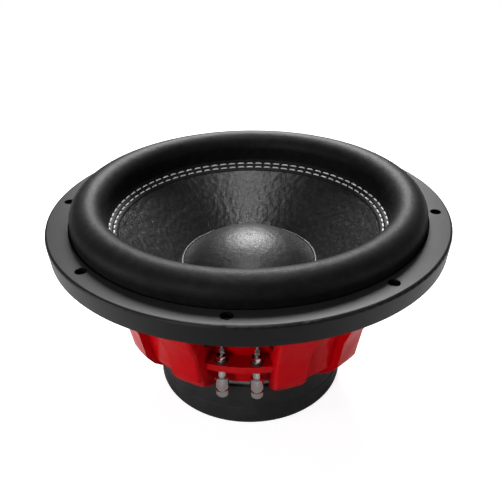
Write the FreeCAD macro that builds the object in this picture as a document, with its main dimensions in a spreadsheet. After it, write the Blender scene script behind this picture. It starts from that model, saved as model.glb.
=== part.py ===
import FreeCAD, Part
import math
import os

import Sketcher
from FreeCAD import Placement, Rotation, Vector

# A 12 inch class car subwoofer driver, cone facing up.  Millimetres.
# Origin: centre of the magnet boot's underside.  +Z towards the cone, -Y towards the terminals.

SIZES = {
    # rim
    "rim_top": 160.0,           # top face of the trim ring above the boot's underside
    "trim_radius": 159.0,
    "trim_taper": 1.3,          # the skirt narrows towards its foot
    "trim_cap": 8.0,            # trim above the basket flange
    "trim_face": 17.6,          # width of the trim's top face
    "trim_wall": 2.2,           # skirt
    "trim_rabbet": 1.5,         # step over the surround's outer lip
    "lip_gap": 0.4,             # above that lip
    "trim_round": 2.0,
    "flange_thick": 6.0,
    "gasket_thick": 2.0,
    "gasket_inset": 7.0,        # gasket's inner edge inside the bolt circle
    "bolt_inset": 11.0,         # bolt circle inside the trim's outer edge
    "bolt_hole": 2.8,
    "bolt_sink": 4.3,
    "bolt_sink_depth": 4.5,
    # motor, from the boot's underside up
    "fit_gap": 0.3,             # between pieces pushed over one another
    "boot_floor": 2.5,
    "boot_wall": 2.7,
    "boot_step": 0.7,
    "boot_step_height": 17.6,
    "boot_lip": 19.0,           # how far the boot's floor turns in
    "boot_round": 5.0,
    "boot_drop": 1.0,           # boot's top edge below the top plate
    "yoke_thick": 10.0,
    "yoke_inset": 3.0,
    "magnet_radius": 78.0,
    "magnet_bore": 42.0,
    "magnet_thick": 14.5,       # each of two
    "plate_thick": 8.0,
    "pole_radius": 30.6,
    "pole_gap": 0.8,            # pole to voice coil former
    "plate_gap": 1.0,           # winding to top plate
    "vent_radius": 14.0,
    "ring_thick": 3.8,          # aluminium shorting ring
    "ring_gap": 0.5,            # ring to magnet bore
    # voice coil and spider
    "former_wall": 0.35,
    "collar_wall": 0.5,
    "winding_build": 2.15,
    "winding_length": 30.0,
    "former_foot": 1.0,         # bare former below the winding
    "former_head": 1.5,         # former above the cone's neck
    "collar_start": 2.0,        # collar above the winding
    "landing_rise": 34.5,       # spider landing above the top plate
    "landing_width": 13.0,
    "landing_thick": 4.0,
    "spider_half_wave": 5.0,
    "spider_wall": 0.8,
    "spider_inner_flat": 3.0,   # at least this much flat cloth at the collar
    "spider_set_in": 0.5,       # cloth's edge inside the landing's
    # cone, surround and cap
    "neck_rise": 10.0,          # cone neck above the spider landing
    "cone_wall": 1.4,
    "cone_edge_drop": 9.81,     # cone's outer edge below the rim's top
    "cone_set_in": 0.6,         # cone's edge inside the roll
    "cap_radius": 56.0,
    "cap_rise": 22.5,
    "cap_wall": 0.9,
    "cap_glue": 0.2,            # glue line under the cap's edge
    "roll_radius": 13.6,
    "roll_rise": 18.3,          # crest above the rim's top
    "roll_gap": 1.1,            # trim ring to roll
    "surround_wall": 2.2,
    "surround_lip": 8.1,        # flat lip glued to the cone
    "lip_wall": 1.2,
    "stitch_inset": 1.8,
    "stitch_pitch": 3.5,
    "thread_radius": 0.6,
    "thread_gap": 0.02,
    # basket
    "floor_thick": 5.0,
    "cup_wall": 3.5,
    "cup_out": 6.0,             # cup wall outside the magnet's edge
    "coil_relief": 38.0,        # hole in the basket's floor
    "foot_clear": 1.0,          # arm feet to boot
    "foot_wall": 6.0,
    "foot_drop": 6.5,           # feet hang below the basket's seat
    "knee_out": 18.5,
    "knee_rise": 9.0,
    "knee_round": 9.0,
    "shoulder_out": 5.5,
    "shoulder_rise": 39.0,
    "arm_depth": 15.5,
    "arm_head": 8.0,            # arm's inner edge at the flange, inside the shell
    "shell_wall": 4.0,
    "collar_height": 4.0,       # unbroken collar under the flange
    "arm_angle": 42.0,
    "arm_side_angle": 1.7,      # thickness of an arm's sides
    "panel_angle": 16.0,        # sunk panel between the two ribs of an arm
    "panel_sink": 7.0,
    "arm_round": 3.0,
    "seat_width": 13.4,         # flange top inside the trim's inner edge
    # terminals
    "post_spacing": 26.7,
    "post_out": 8.0,            # post axis outside the cup wall
    "shelf_out": 14.6,
    "shelf_angle": 33.0,
    "shelf_rise": 21.1,         # shelf underside above the basket's seat
    "shelf_thick": 5.8,
    "post_radius": 5.2,
    "post_neck": 3.6,
    "post_neck_length": 7.1,
    "post_length": 11.0,
    "post_spigot": 4.4,
    "post_spigot_length": 4.1,
    "stud_radius": 2.0,
    "stud_length": 13.4,
    "wire_hole": 1.7,
    "button_length": 6.6,
    "button_travel": 2.0,
    "button_gap": 2.2,
    "button_floor": 2.5,
    "pin_radius": 1.9,
    "pin_over": 0.8,            # pin's tip above the wire hole
    "slide_gap": 0.1,           # post to button
    "bush_radius": 4.9,
    "bush_shank": 3.9,
    "bush_flange": 1.0,
    "nut_flats": 7.0,
    "nut_thick": 3.2,
    "lug_thick": 0.8,
    "lug_tab": 7.0,
    "button_round": 3.0,
    "spring_bore": 3.0,
    "spring_wire": 0.35,
    "spring_turns": 5.0,
    "spring_gap": 0.05,         # spring's ends to button and post
    "spring_seat": 1.0,         # depth of the spring's bore in the barrel
    "washer_thick": 0.7,
    "lug_width": 3.6,
    "lead_radius": 1.0,
    "lead_gap": 0.1,            # lead's end above the lug
    "lead_inset": 4.0,          # lead's eyelet outside the dust cap's edge
    # screws through the basket's floor
    "screw_circle": 60.0,
    "screw_radius": 2.5,
    "screw_head": 4.5,
    "screw_head_height": 3.0,
    "screw_depth": 6.5,
    "screw_tip": 0.5,           # hole runs on past the screw's tip
    "socket_radius": 2.2,
    "socket_depth": 2.0,
    "screen_thick": 0.8,
    "screen_rim": 3.0,          # screen let into the yoke outside the vent
    "screen_hole": 0.9,
    "screen_pitch": 3.6,
    "edge_break": 0.8,
}


class Size:
    """A length that carries both its value and the sheet expression it comes from."""

    def __init__(self, value, text):
        self.value = float(value)
        self.text = text

    def __add__(self, other):
        other = as_size(other)
        return Size(self.value + other.value, f"({self.text} + {other.text})")

    def __sub__(self, other):
        other = as_size(other)
        return Size(self.value - other.value, f"({self.text} - {other.text})")

    def __mul__(self, other):
        other = as_size(other)
        return Size(self.value * other.value, f"({self.text} * {other.text})")

    def __truediv__(self, other):
        other = as_size(other)
        return Size(self.value / other.value, f"({self.text} / {other.text})")

    __radd__ = __add__

    def __rsub__(self, other):
        return as_size(other) - self

    __rmul__ = __mul__

    def __neg__(self):
        return Size(-self.value, f"(0 - {self.text})")


def as_size(number):
    return number if isinstance(number, Size) else Size(number, repr(float(number)))


def sine(degrees):
    return Size(math.sin(math.radians(degrees.value)), f"sin({degrees.text} * 1 deg)")


def cosine(degrees):
    return Size(math.cos(math.radians(degrees.value)), f"cos({degrees.text} * 1 deg)")


def make_sheet(doc):
    sheet = doc.addObject("Spreadsheet::Sheet", "Sizes")
    for row, (name, value) in enumerate(SIZES.items(), start=1):
        sheet.set(f"A{row}", name)
        sheet.set(f"B{row}", str(value))
        sheet.setAlias(f"B{row}", name)
    doc.recompute()
    return {name: Size(sheet.get(name), f"Sizes.{name}") for name in SIZES}


doc = FreeCAD.newDocument("Subwoofer")
S = make_sheet(doc)
BOLTS = 8
ARMS = 5
WINDOW_STEP = 360.0 / ARMS
FRONT = -90.0     # azimuth of the terminals
CUT_PAST = 5.0    # cuts run this far beyond the metal they remove


# ---------------------------------------------------------------- derived places

# radii of the rim
trim_inner = S["trim_radius"] - S["trim_face"]
bolt_circle = S["trim_radius"] - S["bolt_inset"]
trim_foot = S["trim_radius"] - S["trim_taper"]
flange_radius = trim_foot - S["trim_wall"] - S["fit_gap"]
roll_outer = trim_inner - S["roll_gap"]
roll_centre = roll_outer - S["roll_radius"]
roll_inner = roll_centre - S["roll_radius"]
flange_bore = trim_inner - S["seat_width"]

# heights of the rim
flange_top = S["rim_top"] - S["trim_cap"]
flange_under = flange_top - S["flange_thick"]
trim_foot_z = flange_under - S["gasket_thick"]
lip_recess_z = flange_top + S["surround_wall"] + S["lip_gap"]
crest_z = S["rim_top"] + S["roll_rise"]

# motor stack
yoke_top = S["boot_floor"] + S["yoke_thick"]
magnet_mid = yoke_top + S["magnet_thick"]
magnet_top = magnet_mid + S["magnet_thick"]
seat_z = magnet_top + S["plate_thick"]
gap_z = magnet_top + S["plate_thick"] / 2
former_inner = S["pole_radius"] + S["pole_gap"]
former_outer = former_inner + S["former_wall"]
winding_outer = former_outer + S["winding_build"]
plate_bore = winding_outer + S["plate_gap"]
collar_outer = former_outer + S["collar_wall"]
boot_radius = S["magnet_radius"] + S["fit_gap"] + S["boot_wall"]
boot_top = magnet_top - S["boot_drop"]
screen_radius = S["vent_radius"] + S["screen_rim"]

# basket
cup_outer = S["magnet_radius"] + S["cup_out"]
cup_inner = cup_outer - S["cup_wall"]
landing_z = seat_z + S["landing_rise"]
foot_inner = boot_radius + S["foot_clear"]
foot_outer = foot_inner + S["foot_wall"]
knee_radius = foot_outer + S["knee_out"]
knee_z = seat_z + S["knee_rise"]
shoulder_radius = knee_radius + S["shoulder_out"]
shoulder_z = seat_z + S["shoulder_rise"]
head_radius = flange_bore + S["arm_head"]
shelf_z = seat_z + S["shelf_rise"]
shelf_top = shelf_z + S["shelf_thick"]
post_circle = cup_outer + S["post_out"]

# terminal posts, from the shelf down
barrel_top = shelf_z - S["bush_flange"] - S["post_neck_length"]
barrel_low = barrel_top - S["post_length"]
spigot_low = barrel_low - S["post_spigot_length"]
button_top = barrel_low - S["button_gap"]
button_low = button_top - S["button_length"]
spring_top_z = barrel_low + S["spring_seat"]
wire_z = barrel_low + S["post_length"] / 2
pin_bore = S["pin_radius"] + S["slide_gap"]
pin_top = wire_z + S["wire_hole"] + S["pin_over"]
lug_tab_y = -post_circle + S["nut_flats"] / 2 + S["lug_thick"]

# cone: a straight wall from the neck to the edge that carries the surround's lip
cone_neck_z = landing_z + S["neck_rise"] + S["cone_wall"]
cone_edge_z = S["rim_top"] - S["cone_edge_drop"]
cone_edge = roll_inner - S["cone_set_in"]
cone_slope = (cone_edge_z - cone_neck_z) / (cone_edge - collar_outer)
cone_lean = math.hypot(1.0, cone_slope.value)


def on_cone(radius):
    """Height of the cone's upper face."""
    return cone_neck_z + (as_size(radius) - collar_outer) * cone_slope


def on_lip(radius):
    """Height of the upper face of the surround's lip."""
    return on_cone(radius) + S["lip_wall"] * cone_lean


# ---------------------------------------------------------------- modelling helpers


def new_body(name):
    body = doc.addObject("PartDesign::Body", name)
    body.Label = name
    return body


def origin_feature(body, role):
    return next(f for f in body.Origin.OriginFeatures if f.Role == role)


def new_sketch(body, name, plane="XZ_Plane", lift=None, turn=None):
    """A sketch on one of the body's planes, lifted along its normal or turned about Z."""
    sketch = body.newObject("Sketcher::SketchObject", name)
    sketch.AttachmentSupport = [(origin_feature(body, plane), "")]
    sketch.MapMode = "FlatFace"
    if lift is not None:
        sketch.AttachmentOffset = Placement(Vector(0, 0, lift.value), Rotation())
        sketch.setExpression("AttachmentOffset.Base.z", lift.text)
    if turn is not None:
        sketch.AttachmentOffset = Placement(Vector(), Rotation(Vector(0, 1, 0), turn))
    return sketch


def bind(sketch, kind, items, size):
    index = sketch.addConstraint(Sketcher.Constraint(kind, *items, size.value))
    sketch.setExpression(f"Constraints[{index}]", size.text)


def bind_point(sketch, geometry, vertex, x, y):
    bind(sketch, "DistanceX", (-1, 1, geometry, vertex), as_size(x))
    bind(sketch, "DistanceY", (-1, 1, geometry, vertex), as_size(y))


def arc_between(start, end, centre, turn):
    """A circular edge; turn is 1 for anticlockwise and -1 for clockwise."""
    radius = (start - centre).Length
    first, last = (start, end) if turn > 0 else (end, start)
    angle_1 = math.atan2(first.y - centre.y, first.x - centre.x)
    angle_2 = math.atan2(last.y - centre.y, last.x - centre.x)
    if angle_2 <= angle_1:
        angle_2 += 2 * math.pi
    return Part.ArcOfCircle(Part.Circle(centre, Vector(0, 0, 1), radius), angle_1, angle_2)


def outline(sketch, corners):
    """A closed outline.  A corner is (x, y), or (x, y, cx, cy, turn) when an arc about
    (cx, cy) leads to it from the corner before."""
    count = len(corners)
    place = [Vector(as_size(c[0]).value, as_size(c[1]).value, 0) for c in corners]
    ends = []
    for k in range(count):
        target = corners[(k + 1) % count]
        start, end = place[k], place[(k + 1) % count]
        if len(target) == 2:
            sketch.addGeometry(Part.LineSegment(start, end))
            ends.append((1, 2))
            continue
        centre_x, centre_y, turn = as_size(target[2]), as_size(target[3]), target[4]
        centre = Vector(centre_x.value, centre_y.value, 0)
        sketch.addGeometry(arc_between(start, end, centre, turn))
        ends.append((1, 2) if turn > 0 else (2, 1))
        chord = end - start
        if abs(chord.x) >= abs(chord.y):
            bind(sketch, "DistanceY", (-1, 1, k, 3), centre_y)
        else:
            bind(sketch, "DistanceX", (-1, 1, k, 3), centre_x)
    for k in range(count):
        after = (k + 1) % count
        join = Sketcher.Constraint("Coincident", k, ends[k][1], after, ends[after][0])
        sketch.addConstraint(join)
        bind_point(sketch, k, ends[k][0], corners[k][0], corners[k][1])


def circle(sketch, x, y, radius):
    x, y = as_size(x), as_size(y)
    centre = Vector(x.value, y.value, 0)
    index = sketch.addGeometry(Part.Circle(centre, Vector(0, 0, 1), radius.value))
    bind_point(sketch, index, 3, x, y)
    bind(sketch, "Radius", (index,), radius)


def turned(name, corners):
    """A body of revolution about Z from an outline in (radius, height)."""
    body = new_body(name)
    sketch = new_sketch(body, f"{name}_outline")
    outline(sketch, corners)
    feature = body.newObject("PartDesign::Revolution", f"{name}_turn")
    feature.Profile = (sketch, [""])
    feature.ReferenceAxis = (sketch, ["V_Axis"])
    feature.Angle = 360
    doc.recompute()
    return body


def ring(name, inner, outer, low, high):
    return turned(name, [(inner, low), (outer, low), (outer, high), (inner, high)])


def groove(body, name, corners, angle, turn=None):
    """Cuts a turned outline out of the body, over an angle centred on the sketch."""
    sketch = new_sketch(body, f"{name}_outline", turn=turn)
    outline(sketch, corners)
    feature = body.newObject("PartDesign::Groove", name)
    feature.Profile = (sketch, [""])
    feature.ReferenceAxis = (sketch, ["V_Axis"])
    feature.Midplane = True
    feature.Angle = angle.value
    feature.setExpression("Angle", angle.text)
    doc.recompute()
    return feature


def drill(body, name, centres, radius, low=None, depth=None):
    """Round holes along Z: right through, or upwards from a height for a depth."""
    sketch = new_sketch(body, f"{name}_centres", "XY_Plane", lift=low)
    for x, y in centres:
        circle(sketch, x, y, radius)
    feature = body.newObject("PartDesign::Pocket", name)
    feature.Profile = sketch
    if depth is None:
        feature.Type = "ThroughAll"
        feature.Midplane = True
    else:
        feature.Type = "Length"
        feature.Reversed = True
        feature.Length = depth.value
        feature.setExpression("Length", depth.text)
    before = body.Shape.Volume
    doc.recompute()
    if body.Shape.Volume >= before:
        raise RuntimeError(f"{name} cuts nothing")
    return feature


def pad(body, name, sketch, height):
    feature = body.newObject("PartDesign::Pad", name)
    feature.Profile = sketch
    feature.Length = height.value
    feature.setExpression("Length", height.text)
    doc.recompute()
    return feature


def around(body, name, features, count):
    """Repeats features evenly about Z."""
    pattern = body.newObject("PartDesign::PolarPattern", name)
    pattern.Originals = features
    pattern.Axis = (origin_feature(body, "Z_Axis"), [""])
    pattern.Angle = 360
    pattern.Occurrences = count
    body.Tip = pattern
    doc.recompute()
    return pattern


def mirrored(body, name, features):
    """Repeats features on the other side of the YZ plane."""
    pattern = body.newObject("PartDesign::Mirrored", name)
    pattern.Originals = features
    pattern.MirrorPlane = (origin_feature(body, "YZ_Plane"), [""])
    body.Tip = pattern
    doc.recompute()
    return pattern


def round_edges(body, name, radius, wanted):
    """Fillets the edges of the body's last feature that wanted picks."""
    base = body.Tip
    picked = [f"Edge{k}" for k, edge in enumerate(base.Shape.Edges, start=1) if wanted(edge)]
    if not picked:
        raise RuntimeError(f"{name} finds no edge")
    feature = body.newObject("PartDesign::Fillet", name)
    feature.Base = (base, picked)
    feature.Radius = radius.value
    feature.setExpression("Radius", radius.text)
    doc.recompute()
    return feature


def is_hoop(edge, radius, height):
    """True for a full or partial circle about Z at this radius and height."""
    curve = edge.Curve
    return (
        isinstance(curve, Part.Circle)
        and abs(curve.Radius - radius.value) < 0.01
        and abs(curve.Center.z - height.value) < 0.01
        and math.hypot(curve.Center.x, curve.Center.y) < 0.01
    )


# ---------------------------------------------------------------- rim


def make_trim_ring():
    outer = S["trim_radius"]
    rounding = S["trim_round"]
    body = turned(
        "trim_ring",
        [
            (trim_inner, lip_recess_z),
            (trim_inner + S["trim_rabbet"], lip_recess_z),
            (trim_inner + S["trim_rabbet"], flange_top),
            (trim_foot - S["trim_wall"], flange_top),
            (trim_foot - S["trim_wall"], trim_foot_z),
            (trim_foot, trim_foot_z),
            (outer, S["rim_top"] - rounding),
            (outer - rounding, S["rim_top"], outer - rounding, S["rim_top"] - rounding, 1),
            (trim_inner, S["rim_top"]),
        ],
    )
    holes = drill(body, "trim_holes", [(bolt_circle, 0)], S["bolt_hole"])
    sink_floor = S["rim_top"] - S["bolt_sink_depth"]
    sinks = drill(
        body, "trim_sinks", [(bolt_circle, 0)], S["bolt_sink"], sink_floor, S["bolt_sink_depth"]
    )
    around(body, "trim_bolt_pattern", [holes, sinks], BOLTS)
    round_edges(
        body,
        "trim_inner_break",
        S["edge_break"],
        lambda edge: is_hoop(edge, trim_inner, S["rim_top"]),
    )
    return body


def make_gasket():
    inner = bolt_circle - S["gasket_inset"]
    body = ring("mounting_gasket", inner, flange_radius, trim_foot_z, flange_under)
    holes = drill(body, "gasket_holes", [(bolt_circle, 0)], S["bolt_hole"])
    around(body, "gasket_bolt_pattern", [holes], BOLTS)
    return body


# ---------------------------------------------------------------- basket


def arm_face(height, inset=0.0):
    """Radius of the arm's face between shoulder and flange, moved in by inset."""
    run = (head_radius - shoulder_radius) / (flange_under - shoulder_z)
    return shoulder_radius + (height - shoulder_z) * run - inset


def make_basket_shell():
    """Flange, arms, floor, cup and spider landing, turned in one piece."""
    lean = (shoulder_radius - knee_radius) / (shoulder_z - knee_z)
    knee_low = (foot_outer - knee_radius) / ((seat_z - S["foot_drop"]) - knee_z)
    back = S["knee_round"] / 2
    return turned(
        "basket",
        [
            (S["coil_relief"], seat_z),
            (foot_inner, seat_z),
            (foot_inner, seat_z - S["foot_drop"]),
            (foot_outer, seat_z - S["foot_drop"]),
            (knee_radius - back * knee_low, knee_z - back),
            (knee_radius + back * lean, knee_z + back),
            (shoulder_radius, shoulder_z),
            (head_radius, flange_under),
            (flange_radius, flange_under),
            (flange_radius, flange_top),
            (flange_bore, flange_top),
            (flange_bore, flange_under),
            (shoulder_radius - S["arm_depth"], shoulder_z),
            (cup_outer, landing_z),
            (cup_outer - S["landing_width"], landing_z),
            (cup_outer - S["landing_width"], landing_z - S["landing_thick"]),
            (cup_inner, landing_z - S["landing_thick"]),
            (cup_inner, seat_z + S["floor_thick"]),
            (S["coil_relief"], seat_z + S["floor_thick"]),
        ],
    )


def cut_windows(body):
    """Openings between the arms: everything outside the cup and below the collar."""
    top = flange_under - S["collar_height"]
    below = seat_z - S["foot_drop"] - CUT_PAST
    beyond = flange_radius + CUT_PAST
    within = foot_inner - CUT_PAST / 5
    angle = WINDOW_STEP - S["arm_angle"]
    corners = [
        (within, below),
        (beyond, below),
        (beyond, top),
        (cup_outer, top),
        (cup_outer, seat_z),
        (within, seat_z),
    ]
    return groove(body, "window", corners, angle, turn=FRONT)


def cut_panels(body):
    """Sunk panel down the middle of an arm's face, which leaves a rib on each side."""
    sink = S["panel_sink"]
    top = flange_under - S["collar_height"]
    foot_z = seat_z - S["foot_drop"]
    beyond = flange_radius + CUT_PAST
    corners = [
        (foot_inner + S["foot_wall"] / 2, foot_z - CUT_PAST),
        (beyond, foot_z - CUT_PAST),
        (beyond, top),
        (arm_face(top, sink), top),
        (shoulder_radius - sink, shoulder_z),
        (knee_radius - sink, knee_z),
        (foot_inner + S["foot_wall"] / 2, foot_z),
    ]
    return groove(body, "panel", corners, S["panel_angle"], turn=FRONT + WINDOW_STEP / 2)


def cut_channels(body):
    """Hollows behind each arm's face, open to the inside above the spider landing."""
    wall = S["shell_wall"]
    back = cup_outer + wall / 2
    skin = S["panel_sink"] + wall * 1.3    # level thickness at the ribs
    top = flange_under - S["collar_height"]
    corners = [
        (back, knee_z),
        (knee_radius - skin, knee_z),
        (shoulder_radius - skin, shoulder_z),
        (arm_face(top, skin), top),
        (arm_face(top, skin) - 3 * wall, top),
        (back, landing_z + wall / 2),
    ]
    angle = S["arm_angle"] - 2 * S["arm_side_angle"]
    return groove(body, "channel", corners, angle, turn=FRONT + WINDOW_STEP / 2)


def face_at(height):
    """Radius of the arms' outer face at a height, as a plain number."""
    foot_z = (seat_z - S["foot_drop"]).value
    profile = [
        (foot_z, foot_outer.value),
        (knee_z.value, knee_radius.value),
        (shoulder_z.value, shoulder_radius.value),
        (flange_under.value, head_radius.value),
    ]
    for (low, inner), (high, outer) in zip(profile, profile[1:]):
        if height <= high:
            return inner + (outer - inner) * (height - low) / (high - low)
    return outer


def is_arm_corner(edge):
    """True for the long outer corners of the arms, beside a window."""
    off_angle, off_face = 0.2, 3.0    # how far an edge may lie from its ideal place
    middle = edge.valueAt((edge.FirstParameter + edge.LastParameter) / 2)
    ends = [vertex.Point for vertex in edge.Vertexes]
    azimuth = (math.degrees(math.atan2(middle.y, middle.x)) - FRONT) % WINDOW_STEP
    window_half = (WINDOW_STEP - S["arm_angle"].value) / 2
    off = min(abs(azimuth - window_half), abs(azimuth - WINDOW_STEP + window_half))
    below_collar = middle.z < (flange_under - S["collar_height"]).value
    outside = math.hypot(middle.x, middle.y) > face_at(middle.z) - off_face
    upright = abs(ends[0].z - ends[-1].z) > 1.0
    return off < off_angle and below_collar and outside and upright


def post_places():
    """Axes of the two terminals, on the -Y side."""
    return [(side * S["post_spacing"] / 2, -post_circle) for side in (-1, 1)]


def add_shelf(body):
    """Ledge that carries the two terminals, between two arms on the -Y side."""
    sketch = new_sketch(body, "shelf_outline", "XY_Plane", lift=shelf_z)
    half = S["shelf_angle"] / 2
    across, along = sine(half), cosine(half)
    inner = cup_outer - S["cup_wall"] / 2
    outer = cup_outer + S["shelf_out"]
    outline(
        sketch,
        [
            (-inner * across, -inner * along),
            (-outer * across, -outer * along),
            (outer * across, -outer * along, 0, 0, 1),
            (inner * across, -inner * along),
        ],
    )
    return pad(body, "shelf", sketch, S["shelf_thick"])


def make_basket():
    body = make_basket_shell()
    window = cut_windows(body)
    around(body, "window_pattern", [window], ARMS)
    panel = cut_panels(body)
    around(body, "panel_pattern", [panel], ARMS)
    channel = cut_channels(body)
    around(body, "channel_pattern", [channel], ARMS)
    round_edges(body, "arm_corners", S["arm_round"], is_arm_corner)
    add_shelf(body)
    drill(body, "post_holes", post_places(), S["bush_shank"])
    bolts = drill(body, "flange_holes", [(bolt_circle, 0)], S["bolt_hole"])
    around(body, "flange_bolt_pattern", [bolts], BOLTS)
    screws = drill(body, "floor_holes", [(S["screw_circle"], 0)], S["screw_radius"])
    around(body, "floor_hole_pattern", [screws], BOLTS)
    return body


# ---------------------------------------------------------------- motor


def make_yoke():
    """Back plate and vented pole, one steel forging."""
    chamfer = S["edge_break"] * 2
    return turned(
        "yoke",
        [
            (S["vent_radius"], S["boot_floor"] + S["screen_thick"]),
            (screen_radius, S["boot_floor"] + S["screen_thick"]),
            (screen_radius, S["boot_floor"]),
            (S["magnet_radius"] - S["yoke_inset"] - chamfer, S["boot_floor"]),
            (S["magnet_radius"] - S["yoke_inset"], S["boot_floor"] + chamfer),
            (S["magnet_radius"] - S["yoke_inset"], yoke_top),
            (S["pole_radius"], yoke_top),
            (S["pole_radius"], seat_z - chamfer),
            (S["pole_radius"] - chamfer, seat_z),
            (S["vent_radius"], seat_z),
        ],
    )


def make_vent_screen():
    """Perforated disc that keeps dirt out of the pole's vent."""
    low = S["boot_floor"]
    body = turned(
        "vent_screen",
        [
            (0, low),
            (screen_radius, low),
            (screen_radius, low + S["screen_thick"]),
            (0, low + S["screen_thick"]),
        ],
    )
    drill(body, "screen_middle", [(0, 0)], S["screen_hole"])
    for row, count in ((1, 6), (2, 12), (3, 18)):
        hole = drill(body, f"screen_row_{row}", [(row * S["screen_pitch"], 0)], S["screen_hole"])
        around(body, f"screen_ring_{row}", [hole], count)
    return body


def make_top_plate():
    body = ring("top_plate", plate_bore, S["magnet_radius"], magnet_top, seat_z)
    tapped = drill(
        body,
        "plate_holes",
        [(S["screw_circle"], 0)],
        S["screw_radius"],
        seat_z - S["screw_depth"],
        S["screw_depth"],
    )
    around(body, "plate_hole_pattern", [tapped], BOLTS)
    return body


def make_boot():
    """Rubber cup over the magnets; its lower band stands a little proud."""
    rounding = S["boot_round"]
    upper = boot_radius - S["boot_step"]
    inner = boot_radius - S["boot_wall"]
    return turned(
        "magnet_boot",
        [
            (boot_radius - S["boot_lip"], 0),
            (boot_radius - rounding, 0),
            (boot_radius, rounding, boot_radius - rounding, rounding, 1),
            (boot_radius, S["boot_step_height"]),
            (upper, S["boot_step_height"] + S["boot_step"]),
            (upper, boot_top),
            (inner, boot_top),
            (inner, S["boot_floor"]),
            (boot_radius - S["boot_lip"], S["boot_floor"]),
        ],
    )


def make_motor():
    ring("magnet_lower", S["magnet_bore"], S["magnet_radius"], yoke_top, magnet_mid)
    ring("magnet_upper", S["magnet_bore"], S["magnet_radius"], magnet_mid, magnet_top)
    ring(
        "shorting_ring",
        S["pole_radius"],
        S["magnet_bore"] - S["ring_gap"],
        yoke_top,
        yoke_top + S["ring_thick"],
    )
    make_yoke()
    make_vent_screen()
    make_top_plate()
    make_boot()


def make_plate_screws():
    """Eight cap screws that hold the basket's floor to the top plate."""
    body = new_body("plate_screws")
    sketch = new_sketch(body, "screw_outline")
    floor_top = seat_z + S["floor_thick"]
    head_top = floor_top + S["screw_head_height"]
    tip = seat_z - S["screw_depth"] + S["screw_tip"]
    axis = S["screw_circle"]
    outline(
        sketch,
        [
            (axis, tip),
            (axis + S["screw_radius"], tip),
            (axis + S["screw_radius"], floor_top),
            (axis + S["screw_head"], floor_top),
            (axis + S["screw_head"], head_top),
            (axis + S["socket_radius"], head_top),
            (axis + S["socket_radius"], head_top - S["socket_depth"]),
            (axis, head_top - S["socket_depth"]),
        ],
    )
    screw = spun(body, "screw", sketch, axis)
    around(body, "screw_pattern", [screw], BOLTS)
    return body


def spun(body, name, sketch, axis_x):
    """A full turn of the sketch about a line of its own, parallel to Z."""
    line = Part.LineSegment(Vector(axis_x.value, 0, 0), Vector(axis_x.value, 1, 0))
    index = sketch.addGeometry(line, True)
    sketch.addConstraint(Sketcher.Constraint("Vertical", index))
    bind_point(sketch, index, 1, axis_x, 0)
    sketch.addConstraint(Sketcher.Constraint("DistanceY", index, 1, index, 2, 1.0))
    feature = body.newObject("PartDesign::Revolution", name)
    feature.Profile = (sketch, [""])
    feature.ReferenceAxis = (sketch, ["Axis0"])
    feature.Angle = 360
    body.Tip = feature
    doc.recompute()
    return feature


# ---------------------------------------------------------------- coil, spider, cone, surround


def make_coil():
    winding_low = gap_z - S["winding_length"] / 2
    winding_high = gap_z + S["winding_length"] / 2
    former_low = winding_low - S["former_foot"]
    former_top = cone_neck_z + S["former_head"]
    collar_low = winding_high + S["collar_start"]
    ring("coil_former", former_inner, former_outer, former_low, former_top)
    ring("coil_winding", former_outer, winding_outer, winding_low, winding_high)
    ring("former_collar", former_outer, collar_outer, collar_low, former_top)


def wave_arcs(centres, height, side):
    """Half-round arcs of the spider's upper (side 1) or lower (side -1) face, running
    outwards on the upper face and inwards on the lower one."""
    arcs = []
    order = list(enumerate(centres))
    for k, centre in order[:: int(side)]:
        crest = 1 if k % 2 == 0 else -1
        radius = S["spider_half_wave"] / 2 + crest * side * S["spider_wall"] / 2
        arcs.append((centre + side * radius, height, centre, height, -crest * side))
    return arcs


def make_spider():
    """Corrugated cloth disc from the coil's collar to the basket's landing."""
    half = S["spider_wall"] / 2
    middle = landing_z + half
    wave = S["spider_half_wave"]
    rim = cup_outer - S["spider_set_in"]
    flat = rim - S["landing_width"]
    count = int((flat - collar_outer - S["spider_inner_flat"]).value // wave.value)
    centres = [flat - wave * (count - k - 0.5) for k in range(count)]
    first = centres[0] - wave / 2
    last_crest = 1 if count % 2 else -1
    return turned(
        "spider",
        [
            (collar_outer, landing_z + S["spider_wall"]),
            (first - half, landing_z + S["spider_wall"]),
            (first - half, middle),
            *wave_arcs(centres, middle, 1),
            (flat + last_crest * half, landing_z + S["spider_wall"]),
            (rim, landing_z + S["spider_wall"]),
            (rim, landing_z),
            (flat - last_crest * half, landing_z),
            (flat - last_crest * half, middle),
            *wave_arcs(centres, middle, -1),
            (first + half, landing_z),
            (collar_outer, landing_z),
        ],
    )


def dome_centre(edge, foot, apex):
    """Height of the centre of the arc from (edge, foot) to (0, apex)."""
    rise = apex - foot
    return apex - (edge * edge + rise * rise) / (2 * rise)


def make_dust_cap():
    """Shallow dome; its edge stands on the cone."""
    edge = S["cap_radius"]
    inner_edge = edge - S["cap_wall"]
    foot = on_cone(edge) + S["cap_glue"]
    apex = foot + S["cap_rise"]
    inner_apex = apex - S["cap_wall"]
    return turned(
        "dust_cap",
        [
            (edge, foot),
            (0, apex, 0, dome_centre(edge, foot, apex), 1),
            (0, inner_apex),
            (inner_edge, foot, 0, dome_centre(inner_edge, foot, inner_apex), -1),
        ],
    )


def make_cone():
    wall = S["cone_wall"] * cone_lean
    return turned(
        "cone",
        [
            (collar_outer, on_cone(collar_outer) - wall),
            (cone_edge, cone_edge_z - wall),
            (cone_edge, cone_edge_z),
            (collar_outer, on_cone(collar_outer)),
        ],
    )


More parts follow.
